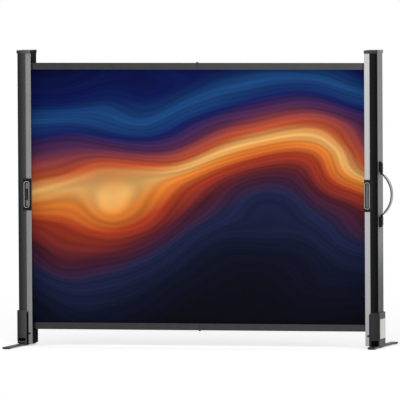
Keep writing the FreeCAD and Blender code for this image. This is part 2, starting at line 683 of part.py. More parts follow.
# Latch on the left strip: a slotted plate with a stud, a slider with a rack behind the
# wall, and a hook on the stud that the rack swings out of the channel
def latch():
    low = "latch_z - latch_height / 2"
    high = "latch_z + latch_height / 2"
    plate = box("latch_plate_block", ("latch_edge", "-latch_face", low), ("post_width", "-wall_face", high))
    slot = oblong("latch_plate_slot", "slot_x", "-latch_face - post_wall", "-wall_inside")
    stud = rod("latch_stud", "y", ("slot_x", "hook_z"), "-latch_face + latch_thickness / 2",
               "-hook_inside + hook_gap", "hook_pin_radius")
    slotted = cut("latch_plate_slotted", plate, [slot])
    label_on_post(fuse("latch_plate_whole", [slotted, stud]), "latch_plate", "left")

    button = box("latch_button", ("slot_x - slot_width / 2 + hook_gap", "-latch_face - button_proud",
                                  "latch_z - button_height / 2"),
                 ("slot_x + slot_width / 2 - hook_gap", "-hook_inside", "latch_z + button_height / 2"))
    carriage_half = "(button_height / 2 + carriage_margin)"
    carriage = box("latch_carriage", ("latch_edge + hook_gap", "-hook_outside", f"latch_z - {carriage_half}"),
                   ("post_width - hook_gap", "-hook_inside", f"latch_z + {carriage_half}"))
    rack_edge = "slot_x - hook_pinion_radius - fit_clearance"
    rack = box("latch_rack", (f"{rack_edge} - rack_width", "-hook_outside", "hook_z - rack_width"),
               (rack_edge, "-hook_inside", "latch_z"))
    label_on_post(fuse("latch_slider_whole", [button, carriage, rack]), "latch_slider", "left")

    pivot = ("slot_x", "hook_z")
    layer = ("-hook_outside", "-hook_inside")
    pinion = rod("hook_pinion", "y", pivot, *layer, "hook_pinion_radius")
    arm = box("hook_arm", ("slot_x - hook_arm_width / 2", layer[0], "hook_z - hook_tip"),
              ("slot_x + hook_arm_width / 2", layer[1], "hook_z"))
    barb = box("hook_barb", ("slot_x", layer[0], "hook_z - hook_tip"),
               ("slot_x + hook_arm_width / 2 + hook_barb", layer[1], "hook_z - hook_reach"))
    bore = rod("hook_bore", "y", pivot, "-wall_face", "0", "hook_pin_radius + running_clearance")
    label_on_post(cut("hook_bored", fuse("hook_whole", [pinion, arm, barb]), [bore]), "latch_hook", "left")


# Keeper on the right strip: a slotted plate with a lip that the hook catches from below
def keeper():
    low = "latch_z - latch_height / 2"
    high = "latch_z + latch_height / 2"
    plate = box("keeper_block", ("latch_edge", "wall_face", low),
                ("post_width + keeper_lip", "latch_face", high))
    lip = box("keeper_lip", ("post_width", "hook_inside", "lip_low"),
              ("post_width + keeper_lip", "latch_face", high))
    slot = oblong("keeper_slot", "keeper_slot_x", "wall_face", "latch_face + post_wall")
    label_on_post(cut("keeper_cut", fuse("keeper_whole", [plate, lip]), [slot]), "keeper_plate", "right")


# Carrying handle on the right post's outer side: two lugs, a hinged strap and its grip
def handle():
    base = ("right_outer_x", "handle_y", "handle_z")
    lugs = []
    screws = []
    for end, sign in (("upper", "1"), ("lower", "(-1)")):
        body = extrusion(f"lug_{end}", "XZ_Plane",
                         [[("0", f"{sign} * lug_inner"), ("lug_reach", f"{sign} * lug_inner"),
                           ("lug_reach", f"{sign} * (lug_outer - 2 * lug_taper)"),
                           ("lug_reach - lug_taper", f"{sign} * lug_outer"), ("0", f"{sign} * lug_outer")]],
                         "-lug_depth / 2", "lug_depth / 2")
        ends = ("lug_inner", "lug_inner + handle_pin_depth + hook_gap")
        span = ends if end == "upper" else (f"-({ends[1]})", f"-({ends[0]})")
        bore = rod(f"lug_bore_{end}", "z", ("handle_pivot_reach", "0"), *span,
                   "handle_pin_radius + running_clearance")
        seat = f"{sign} * (lug_outer - lug_height / 4)"
        drill = rod(f"lug_drill_{end}", "x", ("0", seat), "0", "lug_reach", "screw_radius + fit_clearance")
        lugs.append(cut(f"lug_drilled_{end}", body, [bore, drill]))
        screws.append(rod(f"lug_screw_{end}", "x", ("0", seat), "0", "lug_reach - lug_taper", "screw_radius"))
    label(group("lug_set", lugs), "handle_lugs", None, base)
    label(group("lug_screw_set", screws), "handle_screws", None, base)

    def bow(name, skin, half_width, half_length):
        """A slice of a ring that bows out from the line between the lugs."""
        outer = rod(f"{name}_outer", "y", ("strap_centre", "0"), f"-({half_width})", half_width,
                    f"strap_radius + strap_thickness / 2 + {skin}")
        inner = rod(f"{name}_inner", "y", ("strap_centre", "0"), "-post_width", "post_width",
                    f"strap_radius - strap_thickness / 2 - {skin}")
        keep = box(f"{name}_keep", ("handle_pivot_reach", "-post_width", f"-({half_length})"),
                   ("2 * handle_reach", "post_width", half_length))
        return common(f"{name}_slice", cut(f"{name}_ring", outer, [inner]), keep)

    strap = bow("strap", "0", "strap_width / 2", "handle_spacing")
    parts = [strap]
    for end, low, high, tip in (("upper", "hub_low", "hub_top", "lug_inner + handle_pin_depth"),
                                ("lower", "-hub_top", "-hub_low", "-lug_inner - handle_pin_depth")):
        parts.append(rod(f"hub_{end}", "z", ("handle_pivot_reach", "0"), low, high, "handle_hub_radius"))
        pin_ends = (low, tip) if end == "upper" else (tip, high)
        parts.append(rod(f"hub_pin_{end}", "z", ("handle_pivot_reach", "0"), *pin_ends, "handle_pin_radius"))
    label(fuse("bail_whole", parts), "handle_bail", None, base)

    core = bow("grip_core", "0", "strap_width / 2", "grip_length")
    sleeve = bow("grip_sleeve", "grip_skin", "strap_width / 2 + grip_skin", "grip_length / 2")
    label(cut("grip_hollowed", sleeve, [core]), "handle_grip", None, base)


def write_parts():
    """Stop on any failed object or bad solid, then write one file for each piece."""
    DOC.recompute()
    failed = [item.Name for item in DOC.Objects if {"Invalid", "Error"} & set(item.State)]
    bad = [item.Label for item in PIECES if item.Shape.isNull() or not item.Shape.isValid()]
    if failed or bad:
        raise RuntimeError(f"failed objects {failed}, bad solids {bad}")
    os.makedirs("parts", exist_ok=True)
    for item in PIECES:
        item.Shape.exportStep(os.path.join("parts", f"{item.Label}.step"))


fill_sheet()
for post_side in ("left", "right"):
    post_channel(post_side)
    cover_panels(post_side)
    top_cap(post_side)
    bottom_plug(post_side)
    shoe(post_side)
    base_bar(post_side)
    leg(post_side)
    arm_brackets(post_side)
    for bar_row in ("top", "bottom"):
        crossbar(bar_row, post_side)
roller()
fabric()
latch()
keeper()
handle()
write_parts()
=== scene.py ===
import math

import bpy
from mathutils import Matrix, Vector


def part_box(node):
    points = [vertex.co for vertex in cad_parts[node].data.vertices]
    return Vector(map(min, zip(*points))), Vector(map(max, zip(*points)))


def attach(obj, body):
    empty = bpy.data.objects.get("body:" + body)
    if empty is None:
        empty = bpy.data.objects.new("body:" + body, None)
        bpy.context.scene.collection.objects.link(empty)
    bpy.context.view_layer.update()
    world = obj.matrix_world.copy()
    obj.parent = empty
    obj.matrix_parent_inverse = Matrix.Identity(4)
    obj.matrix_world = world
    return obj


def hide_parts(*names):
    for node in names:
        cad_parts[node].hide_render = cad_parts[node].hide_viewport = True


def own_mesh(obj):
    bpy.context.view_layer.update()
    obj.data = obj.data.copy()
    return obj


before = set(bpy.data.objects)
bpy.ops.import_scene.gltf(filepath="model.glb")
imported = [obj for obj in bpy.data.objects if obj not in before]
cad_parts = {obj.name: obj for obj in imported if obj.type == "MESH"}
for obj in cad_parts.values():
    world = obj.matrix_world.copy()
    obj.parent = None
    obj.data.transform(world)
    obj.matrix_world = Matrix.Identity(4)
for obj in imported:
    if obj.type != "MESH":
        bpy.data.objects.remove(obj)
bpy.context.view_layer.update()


# Posts: two aluminium channels, sawn from a drawn extrusion and satin anodised.
# They stand with their open sides towards the picture; the inside is painted black as painted shade.
class Shade:
    """A socket in one material's nodes. Sums and products of it become Math nodes."""

    def __init__(self, tree, socket=None):
        self.tree = tree
        self.socket = socket

    def node(self, kind, output=0, settings=None, sockets=None):
        """Any node: its settings are set first, then the values or links of its sockets."""
        made = self.tree.nodes.new(kind)
        for name, value in (settings or {}).items():
            if name == "stops":
                self.set_stops(made.color_ramp, value)
            else:
                setattr(made, name, value)
        for name, value in (sockets or {}).items():
            self.feed(made.inputs[name], value)
        return Shade(self.tree, made.outputs[output])

    def feed(self, socket, value):
        """Link a shade to a socket, or set a fixed value on it."""
        if isinstance(value, Shade):
            self.tree.links.new(value.socket, socket)
        else:
            socket.default_value = value

    def set_stops(self, ramp, stops):
        """Set a ramp's stops, each a position and a colour. A new ramp has two already."""
        first, *middle, last = stops
        for element, (position, colour) in zip((ramp.elements[0], ramp.elements[-1]), (first, last)):
            element.position = position
            element.color = (*colour, 1)
        for position, colour in middle:
            ramp.elements.new(position).color = (*colour, 1)

    def axes(self):
        """The X, Y and Z of a place, as three values."""
        split = self.node("ShaderNodeSeparateXYZ", 0, None, {"Vector": self})
        return [Shade(self.tree, socket) for socket in split.socket.node.outputs]

    def maths(self, operation, first, second=0.0):
        """A Math node with one or two values."""
        return self.node("ShaderNodeMath", 0, {"operation": operation}, {0: first, 1: second})

    def __add__(self, other):
        return self.maths("ADD", self, other)

    __radd__ = __add__

    def __sub__(self, other):
        return self.maths("SUBTRACT", self, other)

    def __rsub__(self, other):
        return self.maths("SUBTRACT", other, self)

    def __mul__(self, other):
        return self.maths("MULTIPLY", self, other)

    __rmul__ = __mul__

    def __lt__(self, other):
        return self.maths("LESS_THAN", self, other)

    def __gt__(self, other):
        return self.maths("GREATER_THAN", self, other)

    def __abs__(self):
        return self.maths("ABSOLUTE", self)


def new_finish(name, **fixed):
    """A material, its shader with the fixed values set, and the place on the piece."""
    material = bpy.data.materials.new(name)
    material.use_nodes = True
    shader = material.node_tree.nodes["Principled BSDF"]
    for socket, value in fixed.items():
        shader.inputs[socket.replace("_", " ")].default_value = value
    place = Shade(material.node_tree).node("ShaderNodeTexCoord", "Object")
    return material, shader, place


def graded(value, start, end, first=0.0, last=1.0, easing="LINEAR"):
    """A value that goes from first to last while another goes from start to end."""
    return value.node("ShaderNodeMapRange", 0, {"interpolation_type": easing},
                      {"Value": value, "From Min": start, "From Max": end, "To Min": first, "To Max": last})


def noise(place, scale, detail=2.0, contrast=2.5):
    """Noise from 0 to 1 about one half, spread out by the contrast. Three scales stretch it."""
    if isinstance(scale, tuple):
        place = place.node("ShaderNodeMapping", 0, None, {"Vector": place, "Scale": scale})
        scale = 1.0
    raw = place.node("ShaderNodeTexNoise", 0, None, {"Vector": place, "Scale": scale, "Detail": detail})
    return graded(raw, 0.5 - 0.5 / contrast, 0.5 + 0.5 / contrast)


MIX_SHARE, MIX_FIRST, MIX_SECOND = 0, 6, 7
MIX_RESULT = 2


def mixed(mask, first, second):
    """The first colour where the mask is 0, the second where it is 1."""
    first, second = [tone if isinstance(tone, Shade) else (*tone, 1) for tone in (first, second)]
    return mask.node("ShaderNodeMix", MIX_RESULT, {"data_type": "RGBA"},
                     {MIX_SHARE: mask, MIX_FIRST: first, MIX_SECOND: second})


def plain_normal(place):
    """The surface's own normal."""
    return place.node("ShaderNodeNewGeometry", "Normal")


def rounded_edges(place, radius):
    """The normal of edges rounded to this radius, and a mask of where they are."""
    normal = place.node("ShaderNodeBevel", 0, {"samples": 6}, {"Radius": radius})
    alike = normal.node("ShaderNodeVectorMath", "Value", {"operation": "DOT_PRODUCT"},
                        {0: normal, 1: plain_normal(place)})
    return normal, 1 - alike


def bumped(height, normal, distance, strength):
    """A normal that a height bends, by a distance in metres."""
    return height.node("ShaderNodeBump", 0, None,
                       {"Height": height, "Normal": normal, "Distance": distance, "Strength": strength})


def coat(shader, colour, roughness, normal):
    """Link what changes over a piece to its shader."""
    for name, shade in (("Base Color", colour), ("Roughness", roughness), ("Normal", normal)):
        shade.feed(shader.inputs[name], shade)


def dress(material, *names):
    """Give CAD nodes a material."""
    for name in names:
        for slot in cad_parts[name].material_slots:
            slot.material = material


SIDES = ("left", "right")
POST_WALL = 0.0019
FACE_SKIN = 0.0001
STRIP_SKIN = 0.0005
PAINTED_SHADE_BLACK = (0.012, 0.012, 0.013)
DULL_SILVER = (0.215, 0.217, 0.222)
BRIGHT_SILVER = (0.290, 0.292, 0.297)
WORN_SILVER = (0.42, 0.42, 0.43)
STRIP_SHADE = 0.22
FOOT_SHADE = 0.62
FOOT_SHADE_Z = (0.12, 0.28)


def anodised_channel(side):
    """Satin metal with draw lines along the post; painted shade makes the inside and the lips black.

    Painted shade makes one strip darker than the other, and the outer side darker towards the foot.
    """
    material, shader, place = new_finish(f"anodised_channel_{side}", Specular_Tint=(0.62, 0.62, 0.62, 1))
    low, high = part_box(f"post_{side}")
    across, depth, up = place.axes()
    inward = across - low.x if side == "left" else high.x - across
    darker_way = -1 if side == "left" else 1
    between_strips = abs(depth) < high.y - FACE_SKIN
    inside = (inward > POST_WALL) * between_strips
    outer_side = (inward < POST_WALL) * between_strips
    painted_shade_strip = depth * darker_way > high.y - STRIP_SKIN
    to_foot = graded(up, *FOOT_SHADE_Z, first=FOOT_SHADE, last=0.0, easing="SMOOTHSTEP")
    lines = noise(place, scale=(1500, 1500, 4), detail=3.0)
    clouds = noise(place, scale=7.0)
    normal, edge = rounded_edges(place, radius=0.0005)
    silver = mixed(lines * 0.5 + clouds * 0.5, DULL_SILVER, BRIGHT_SILVER)
    lit = mixed(edge * 2.0, silver, WORN_SILVER)
    # Painted shade: one strip darker, the outer side darker towards the foot, and black inside.
    painted_shade_silver = mixed(painted_shade_strip * STRIP_SHADE + outer_side * to_foot, lit, PAINTED_SHADE_BLACK)
    roughness = lines * 0.12 + clouds * 0.06 + 0.4
    coat(shader, mixed(inside, painted_shade_silver, PAINTED_SHADE_BLACK), roughness,
         bumped(lines, normal, distance=0.00004, strength=0.35))
    place.feed(shader.inputs["Metallic"], 1 - inside)
    return material


for side in SIDES:
    dress(anodised_channel(side), f"post_{side}")


# Cover panels: crowned dark strips that snap over the front and rear of each post.
# Drawn aluminium again, painted satin black, with a painted highlight towards the bare strip.
# Each post has a panel painted lit and one painted in shade, as the posts are half-turn copies.
# Painted light: tones for a lit panel and a shaded one, each lighter at the edge to the picture.
LIT_PANEL_TONES = ((0.005, 0.005, 0.0053), (0.060, 0.060, 0.061), 0.11)
SHADED_PANEL_TONES = ((0.0006, 0.0006, 0.0007), (0.013, 0.013, 0.0133), 0.03)
WORN_PAINT = (0.03, 0.03, 0.032)
PANELS = {
    "front_panel_left": LIT_PANEL_TONES,
    "rear_panel_right": LIT_PANEL_TONES,
    "front_panel_right": SHADED_PANEL_TONES,
    "rear_panel_left": SHADED_PANEL_TONES,
}


def inward_share(place, node):
    """How far a point lies from a piece's outer edge to the edge towards the picture, 0 to 1."""
    low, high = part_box(node)
    outer, inner = (low.x, high.x) if node.endswith("left") else (high.x, low.x)
    across = place.axes()[0]
    return (across - outer) * (1 / (inner - outer))


def satin_black(node, outer_tone, inner_tone, shine):
    """Satin paint over faint draw lines, with a painted highlight towards the picture."""
    material, shader, place = new_finish(f"satin_{node}", Specular_IOR_Level=shine)
    lines = noise(place, scale=(900, 900, 3), detail=3.0)
    specks = noise(place, scale=1400.0)
    normal, edge = rounded_edges(place, radius=0.0005)
    flecks = lines * 0.6 + specks * 0.4
    # Painted highlight: lighter from the outer edge to the edge at the picture.
    tone = mixed(inward_share(place, node) * 0.92 + flecks * 0.08, outer_tone, inner_tone)
    roughness = lines * 0.1 + specks * 0.06 + 0.38
    coat(shader, mixed(edge * 2.0, tone, WORN_PAINT), roughness,
         bumped(lines + specks, normal, distance=0.00003, strength=0.3))
    return material


for node, tones in PANELS.items():
    dress(satin_black(node, *tones), node)


# Top caps: injection-moulded grey plastic with a fine spark-eroded skin, pressed into
# the channels' upper ends. A painted highlight lightens their faces towards the picture,
# more on one face than the other. Painted shade makes the plug and the side there matt
# black, and the outer side is polished.
CAP_GREY = (0.012, 0.012, 0.0125)
# Painted highlight at the caps' edges towards the picture, on the lit face and the shaded face.
CAP_LIT_FACE_INNER = (0.140, 0.140, 0.142)
CAP_SHADED_FACE_INNER = (0.050, 0.050, 0.051)
# Painted shade: matt black on the plug and on the side towards the picture.
MATT_PAINTED_SHADE = (0.002, 0.002, 0.002)
SEAT_DEPTH = 0.0002
SIDE_SKIN = 0.0006


def tinted(colour, share, lift=0.0):
    """A colour made darker or lighter by a share, and then lifted."""
    return tuple(share * value + lift for value in colour)


def moulded(name, colour, rough=0.45, shine=0.18, zones=None, highlight_inward=None):
    """Moulded plastic: fine skin texture, faint flow marks, slightly polished edges carrying a painted
    highlight.

    Zones is a function of the place that gives masks of matt black painted shade and of polished areas.
    The inward argument is a node, and the colours of a painted highlight at its edge to the picture, on its
    lit and its shaded face.
    """
    material, shader, place = new_finish(name, Specular_IOR_Level=shine)
    skin = noise(place, scale=2600.0, detail=3.0)
    flow = noise(place, scale=(14, 14, 5), detail=3.0)
    normal, edge = rounded_edges(place, radius=0.0006)
    body = mixed(flow * 0.7 + skin * 0.3, tinted(colour, 0.8), tinted(colour, 1.2))
    # The lighter edges are a painted highlight; their polish is the lower roughness.
    body = mixed(edge * 2.5, body, tinted(colour, 1.9, lift=0.004))
    roughness = flow * 0.12 + skin * 0.1 + (rough - 0.11) - edge * 0.3
    # Painted highlight: lighter towards the picture, more on the lit face than on the shaded one.
    if highlight_inward:
        node, lit_tone, shaded_tone = highlight_inward
        depth = place.axes()[1]
        lit_face = depth < 0.0 if node.endswith("left") else depth > 0.0
        body = mixed(inward_share(place, node), body, mixed(lit_face, shaded_tone, lit_tone))
    # Painted shade: the matt areas are painted black; polish only lowers the roughness.
    if zones:
        matt, polished = zones(place)
        body = mixed(matt, body, MATT_PAINTED_SHADE)
        roughness = roughness + matt * 0.6 - polished * 0.24
    coat(shader, body, roughness, bumped(skin, normal, distance=0.00006, strength=0.45))
    return material


def cap_zones(side):
    """Matt, with painted black shade, on the plug and towards the picture; polished on the outer side."""
    low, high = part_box(f"top_cap_{side}")
    inner, outer, inwards = (high.x, low.x, 1) if side == "left" else (low.x, high.x, -1)
    plug_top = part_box("post_left")[1].z - SEAT_DEPTH

    def zones(place):
        across, _, up = place.axes()
        towards_picture = (across - inner) * inwards > -SIDE_SKIN
        matt = across.maths("MAXIMUM", towards_picture, up < plug_top)
        polished = (across - outer) * inwards < SIDE_SKIN
        return matt, polished

    return zones


for side in SIDES:
    cap = f"top_cap_{side}"
    dress(moulded(f"{cap}_moulding", CAP_GREY, rough=0.38, shine=0.15, zones=cap_zones(side),
                  highlight_inward=(cap, CAP_LIT_FACE_INNER, CAP_SHADED_FACE_INNER)), cap)


# Bottom plugs: black blocks that close the channels' lower ends, each held by two
# blackened pan-head screws with a cross recess, one through each strip.
def both(*names):
    """The nodes of these names on the left and the right."""
    return [f"{name}_{side}" for name in names for side in SIDES]


dull_black = moulded("plug_moulding", (0.003, 0.003, 0.0033), rough=0.85, shine=0.03)
dress(dull_black, *both("bottom_plug"))


def plain_metal(name, colour, rough):
    """Plated or bare metal: a faint spangle, draw marks and a painted highlight on the edges."""
    material, shader, place = new_finish(name, Metallic=1.0)
    spangle = noise(place, scale=900.0, contrast=1.6)
    drawn = noise(place, scale=(60, 60, 900))
    normal, edge = rounded_edges(place, radius=0.0003)
    plating = mixed(spangle, tinted(colour, 0.84), colour)
    roughness = spangle * 0.15 + drawn * 0.1 + (rough - 0.12)
    # The brighter edges are a painted highlight.
    coat(shader, mixed(edge * 2.0, plating, tinted(colour, 1.15, lift=0.06)), roughness,
         bumped(drawn, normal, distance=0.00002, strength=0.3))
    return material


blackened = plain_metal("blackened_steel", (0.030, 0.030, 0.032), rough=0.42)
SCREW_HEAD = 0.0026
SCREW_RISE = 0.0012
SCREW_ROUND = 0.0005
SCREW_SIDES = 40
RECESS_ARM = (0.0030, 0.0007)
RECESS_DEPTH = 0.0008
SMOOTH_BELOW = math.radians(35)


def deselected():
    """Clear the selection, as an operator acts on all that is selected."""
    bpy.ops.object.select_all(action="DESELECT")


def only(piece):
    """Make a piece the only one selected, and the active one."""
    deselected()
    piece.select_set(True)
    bpy.context.view_layer.objects.active = piece


def placed(name, scale=(1, 1, 1)):
    """The new primitive, named and sized, with its place put into its mesh."""
    piece = bpy.context.object
    piece.name = name
    piece.scale = scale
    bpy.ops.object.transform_apply(location=True, rotation=True, scale=True)
    return piece


def applied(piece, kind, **settings):
    """Add one modifier to a piece and apply it."""
    modifier = piece.modifiers.new(kind.lower(), kind)
    for name, value in settings.items():
        setattr(modifier, name, value)
    bpy.context.view_layer.objects.active = piece
    bpy.ops.object.modifier_apply(modifier=modifier.name)


def bevelled(piece, width, segments=2, sharper_than=30):
    """Round a piece's edges that turn by more than an angle in degrees."""
    applied(piece, "BEVEL", width=width, segments=segments, limit_method="ANGLE",
            angle_limit=math.radians(sharper_than))


def block(name, low, high):
    """A new box between two corners, at the origin with its place in its mesh."""
    deselected()
    low, high = Vector(low), Vector(high)
    bpy.ops.mesh.primitive_cube_add(size=1, location=(low + high) / 2)
    return placed(name, high - low)


def carve(piece, cutter):
    """Cut another piece out of one, and remove it."""
    applied(piece, "BOOLEAN", operation="DIFFERENCE", object=cutter, solver="EXACT")
    bpy.data.objects.remove(cutter)


def smoothed(piece):
    """Shade a piece smooth, apart from its sharp edges."""
    only(piece)
    bpy.ops.object.shade_smooth_by_angle(angle=SMOOTH_BELOW)


def paint(piece, material):
    """Make a material the only one on a piece."""
    piece.data.materials.clear()
    piece.data.materials.append(material)


def copied(piece, name, move, turn=0.0):
    """A copy with a mesh of its own, turned about the upright axis and then moved."""
    only(piece)
    bpy.ops.object.duplicate()
    copy = bpy.context.object
    copy.name = name
    copy.rotation_euler.z = turn
    copy.location = move
    bpy.ops.object.transform_apply(location=True, rotation=True, scale=True)
    return copy


def pan_head(name, x, seat, z):
    """A screw head with a cross recess that rises forwards from a wall at seat."""
    deselected()
    bpy.ops.mesh.primitive_cylinder_add(
        vertices=SCREW_SIDES, radius=SCREW_HEAD, depth=SCREW_RISE,
        location=(x, seat - SCREW_RISE / 2, z), rotation=(math.pi / 2, 0, 0))
    head = placed(name)
    bevelled(head, SCREW_ROUND, segments=3)
    top = seat - SCREW_RISE
    half_long, half_wide = RECESS_ARM[0] / 2, RECESS_ARM[1] / 2
    for wide, tall in ((half_long, half_wide), (half_wide, half_long)):
        carve(head, block("recess", (x - wide, top - RECESS_DEPTH, z - tall),
                          (x + wide, top + RECESS_DEPTH, z + tall)))
    smoothed(head)
    paint(head, blackened)
    return head


screws_low, screws_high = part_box("plug_screws_left")
screws_middle = (screws_low + screws_high) / 2
left_front = pan_head("plug_screw_front_left", screws_middle.x, screws_low.y + SCREW_RISE, screws_middle.z)
left_rear = copied(left_front, "plug_screw_rear_left", (2 * screws_middle.x, 0, 0), math.pi)
to_right_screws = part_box("plug_screws_right")[0] - screws_low
right_front = copied(left_front, "plug_screw_front_right", to_right_screws)
right_rear = copied(left_rear, "plug_screw_rear_right", to_right_screws)
for side, heads in (("left", (left_front, left_rear)), ("right", (right_front, right_rear))):
    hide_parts(f"plug_screws_{side}")
    for head in heads:
        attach(head, f"{side}_post")


# Shoes: black moulded sleeves round the posts' feet, with a hinge window in the lower edge
# of each face. Ribbed fillers close the windows, and a dull lip lies on each strip, beside
# the shoe. The right shoe carries a blank paper label.
SHOE_BLACK = (0.005, 0.005, 0.0054)
# Painted highlight at the shoes' edges towards the picture, on the lit face and the shaded face.
SHOE_LIT_FACE_INNER = (0.074, 0.074, 0.075)
SHOE_SHADED_FACE_INNER = (0.018, 0.018, 0.0185)
for side in SIDES:
    shoe = f"shoe_{side}"
    dress(moulded(f"{shoe}_moulding", SHOE_BLACK, highlight_inward=(shoe, SHOE_LIT_FACE_INNER, SHOE_SHADED_FACE_INNER)), shoe)
RIBS = 4
FILLER_WIDTH = 0.0162
FILLER_GAP = 0.0002
FILLER_ROUND = 0.0003
RIB_GAP_SHARE = 0.22
RIB_FOOT = 0.0013
BLANK_INSET = 0.0016
BLANK_GROOVE = 0.0014
BACK_DEPTHS = (-0.0292, -0.0276)
BACK_GROOVE = 0.0009


def ribbed_filler(name, outer, inner, top, groove):
    """A ribbed plate in a hinge window of the left shoe, between two depths along Y."""
    bar_low, bar_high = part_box("base_bar_left")
    first = (bar_low.x + bar_high.x) / 2 - FILLER_WIDTH / 2
    bottom = bar_high.z + FILLER_GAP
    near, far = sorted((outer, inner))
    plate = block(name, (first, near, bottom), (first + FILLER_WIDTH, far, top))
    pitch = FILLER_WIDTH / RIBS
    half_gap = pitch * RIB_GAP_SHARE
    for rib in range(RIBS):
        centre = first + (rib + 0.5) * pitch
        carve(plate, block("rib_gap", (centre - half_gap, outer - groove, bottom + RIB_FOOT),
                           (centre + half_gap, outer + groove, top + RIB_FOOT)))
    bevelled(plate, FILLER_ROUND)
    paint(plate, dull_black)
    return plate


LIP_WIDTH = 0.0036
LIP_RISE = 0.0018
LIP_SLOPE = 0.004
LIP_ROUND = 0.0004
shoe_low, shoe_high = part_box("shoe_left")
panel_low, panel_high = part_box("rear_panel_left")
window_blank = ribbed_filler("window_blank_left", shoe_high.y - BLANK_INSET, panel_high.y - FILLER_GAP,
                             panel_low.z - BLANK_INSET, BLANK_GROOVE)
window_back = ribbed_filler("window_back_left", *BACK_DEPTHS, panel_low.z - FILLER_GAP, BACK_GROOVE)

front_lip = block("shoe_lip_front_left", (shoe_high.x, -panel_low.y - LIP_RISE, shoe_low.z + FILLER_GAP),
                  (shoe_high.x + LIP_WIDTH, -panel_low.y, shoe_high.z))
for point in front_lip.data.vertices:
    point.select = point.co.x > shoe_high.x + LIP_WIDTH / 2 and point.co.z > shoe_high.z / 2
bpy.ops.object.mode_set(mode="EDIT")
bpy.ops.transform.translate(value=(0, 0, -LIP_SLOPE))
bpy.ops.object.mode_set(mode="OBJECT")
bevelled(front_lip, LIP_ROUND)
paint(front_lip, dull_black)
rear_lip = copied(front_lip, "shoe_lip_rear_left", (0, 2 * panel_low.y + LIP_RISE, 0))

half_turn_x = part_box("base_bar_left")[0].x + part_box("base_bar_right")[1].x
for piece, right_name in ((window_blank, "window_blank_right"), (window_back, "window_back_right"),
                          (front_lip, "shoe_lip_rear_right"), (rear_lip, "shoe_lip_front_right")):
    right_piece = copied(piece, right_name, (half_turn_x, 0, 0), math.pi)
    for made, body in ((piece, "left_post"), (right_piece, "right_post")):
        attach(made, body)

PAPER_TONES = ((0.74, 0.74, 0.73), (0.84, 0.84, 0.83))
LABEL_Y = (-0.0250, 0.0310)
LABEL_Z = (0.0225, 0.0690)
LABEL_THICKNESS = 0.0002
LABEL_CORNER = 0.003


def label_paper():
    """Smooth paper with faint fibres."""
    material, shader, place = new_finish("label_paper", Specular_IOR_Level=0.3)
    fibres = noise(place, scale=900.0, detail=3.0)
    place.feed(shader.inputs["Base Color"], mixed(fibres, *PAPER_TONES))
    place.feed(shader.inputs["Roughness"], fibres * 0.15 + 0.5)
    return material


def round_corners(piece, axis, radius, segments=5):
    """Round the four edges of a box that run along one axis."""
    bpy.context.view_layer.objects.active = piece
    bpy.ops.object.mode_set(mode="EDIT")
    bpy.ops.mesh.select_mode(type="EDGE")
    bpy.ops.mesh.select_all(action="DESELECT")
    bpy.ops.object.mode_set(mode="OBJECT")
    points = piece.data.vertices
    for edge in piece.data.edges:
        along = points[edge.vertices[1]].co - points[edge.vertices[0]].co
        edge.select = abs(along[axis]) > 0.99 * along.length
    bpy.ops.object.mode_set(mode="EDIT")
    bpy.ops.mesh.bevel(offset=radius, segments=segments, affect="EDGES")
    bpy.ops.object.mode_set(mode="OBJECT")


label_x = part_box("shoe_right")[1].x
label = block("blank_label", (label_x, LABEL_Y[0], LABEL_Z[0]),
              (label_x + LABEL_THICKNESS, LABEL_Y[1], LABEL_Z[1]))
round_corners(label, 0, LABEL_CORNER)
smoothed(label)
paint(label, label_paper())
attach(label, "right_post")


# Feet: powder-coated flat steel bars under the shoes with a short toe, folding legs on
# zinc-plated hinge pins, and ribbed rubber pads that stand on the table.
def powder_coat(name, colour, rough=0.5, shine=0.3):
    """Stoved powder: fine orange peel, a little dust and worn edges."""
    material, shader, place = new_finish(name, Specular_IOR_Level=shine)
    peel = noise(place, scale=900.0)
    dust = noise(place, scale=60.0, detail=4.0)
    normal, edge = rounded_edges(place, radius=0.0006)
    powder = mixed(dust, tinted(colour, 0.8), tinted(colour, 1.25))
    roughness = peel * 0.15 + dust * 0.1 + (rough - 0.12)
    coat(shader, mixed(edge * 2.0, powder, tinted(colour, 2.0, lift=0.008)), roughness,
         bumped(peel, normal, distance=0.00008, strength=0.4))
    return material


def cross_ribs(place, scale):
    """Ribs that follow each other up the piece."""
    return place.node("ShaderNodeTexWave", "Fac", {"bands_direction": "Z"},
                      {"Vector": place, "Scale": scale})


def pad_rubber(colour):
    """Black rubber with a fine grain, a pale bloom and faint ribs."""
    material, shader, place = new_finish("foot_rubber", Specular_IOR_Level=0.3)
    grain = noise(place, scale=1800.0, detail=3.0)
    bloom = noise(place, scale=90.0, detail=3.0)
    ribs = cross_ribs(place, scale=90.0)
    normal, edge = rounded_edges(place, radius=0.0005)
    coat(shader, mixed(bloom * 0.7 + edge, colour, tinted(colour, 1.6)),
         grain * 0.15 + bloom * 0.1 + 0.6,
         bumped(grain * 0.3 + ribs, normal, distance=0.00008, strength=0.4))
    return material


zinc = plain_metal("zinc_plated_steel", (0.55, 0.56, 0.58), rough=0.32)
dress(powder_coat("foot_powder_coat", (0.014, 0.014, 0.015)), *both("base_bar", "leg"))
dress(zinc, *both("leg_hinge_pin"))
dress(pad_rubber((0.018, 0.018, 0.018)), *both("base_pads", "leg_pad"))


